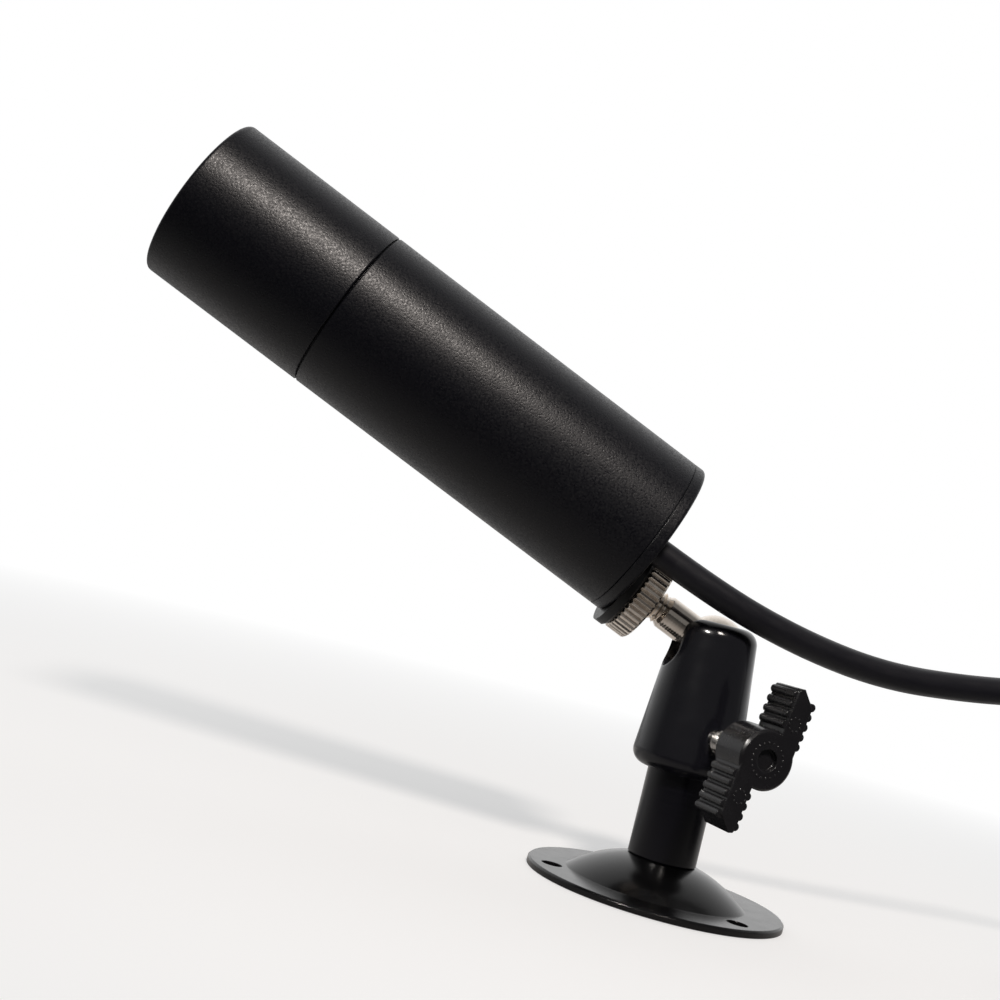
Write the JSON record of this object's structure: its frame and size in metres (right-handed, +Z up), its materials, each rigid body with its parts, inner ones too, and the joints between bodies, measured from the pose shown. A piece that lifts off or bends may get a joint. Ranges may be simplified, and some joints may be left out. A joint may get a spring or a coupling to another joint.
{
  "type": "ip security camera",
  "caption": "Slim black tube-shaped network camera on a ball-head stand with a round screw-down base, wing clamp knob, lock nut and rear cable ending in a network socket.",
  "frame": {"origin": "centre of the base plate's underside, on the stem's axis", "axes": "+Z up the stem away from the mounting surface; the camera points to -X and up; the clamp knob is on the -Y side"},
  "size_m": [0.3193, 0.0849, 0.1391],
  "materials": {
    "plate_paint": "satin black powder coat on pressed steel",
    "stem_anodised": "satin black anodised",
    "head_enamel": "gloss black enamel on a zinc casting",
    "plain_steel": "zinc-plated steel",
    "seat_plastic": "moulded acetal",
    "knob_plastic": "glossy moulded plastic",
    "nickel": "bright nickel plating on steel",
    "washer_plastic": "moulded black nylon",
    "barrel_anodised": "bead-blasted, black anodised",
    "inner_anodised": "matt black anodised",
    "seal_rubber": "black rubber",
    "insert_brass": "turned brass",
    "window_glass": "clear coated glass",
    "frame_plastic": "moulded plastic",
    "board_laminate": "green solder mask",
    "chip_resin": "moulded chip package",
    "lamp_resin": "smoke-tinted clear resin",
    "cable_jacket": "smooth flexible jacket",
    "socket_plastic": "moulded plastic",
    "contact_metal": "gold-plated contacts"
  },
  "bodies": {
    "base": {"base_plate": "plate_paint", "stem": "stem_anodised", "stem_screw": "plain_steel", "stem_washer": "plain_steel", "ball_head": "head_enamel", "ball_seat": "seat_plastic", "cable": "cable_jacket", "cable_coil": "cable_jacket", "cable_tail": "cable_jacket", "network_socket": "socket_plastic", "socket_contacts": "contact_metal"},
    "knob": {"wing_knob": "knob_plastic", "clamp_screw": "plain_steel"},
    "stud": {"ball_stud": "nickel"},
    "nut": {"lock_nut": "nickel"},
    "camera": {"stud_washer": "washer_plastic", "rear_cap": "barrel_anodised", "main_housing": "barrel_anodised", "front_housing": "barrel_anodised", "window_retainer": "inner_anodised", "lens_barrel": "inner_anodised", "lens_lock_ring": "inner_anodised", "rear_cap_seal": "seal_rubber", "housing_seal": "seal_rubber", "window_seal": "seal_rubber", "cable_grommet": "seal_rubber", "lens_shroud": "seal_rubber", "stud_insert": "insert_brass", "front_window": "window_glass", "lens_front_element": "window_glass", "lens_holder": "frame_plastic", "board_carrier": "frame_plastic", "led_frame": "frame_plastic", "board_connector": "frame_plastic", "sensor_board": "board_laminate", "processor_board": "board_laminate", "led_board": "board_laminate", "image_sensor": "chip_resin", "processor_chip": "chip_resin", "infrared_leds": "lamp_resin", "inner_lead": "cable_jacket"}
  },
  "joints": [
    {"name": "ball_tilt", "type": "hinge", "parent": "base", "child": "stud", "pos_m": [0, 0, 0.055], "axis": [0, 1, 0], "range_deg": [-22, 67], "deforming": ["cable"]},
    {"name": "camera_turn", "type": "hinge", "parent": "stud", "child": "camera", "pos_m": [0, 0, 0.055], "axis": [-0.9239, 0, 0.3827], "range_deg": [-170, 170], "deforming": ["cable"]},
    {"name": "nut_turn", "type": "hinge", "parent": "stud", "child": "nut", "pos_m": [0, 0, 0.055], "axis": [-0.9239, 0, 0.3827], "range_deg": [-360, 0]},
    {"name": "knob_turn", "type": "hinge", "parent": "base", "child": "knob", "pos_m": [0, 0, 0.036], "axis": [0.2924, -0.9563, 0], "range_deg": [0, 360]}
  ]
}
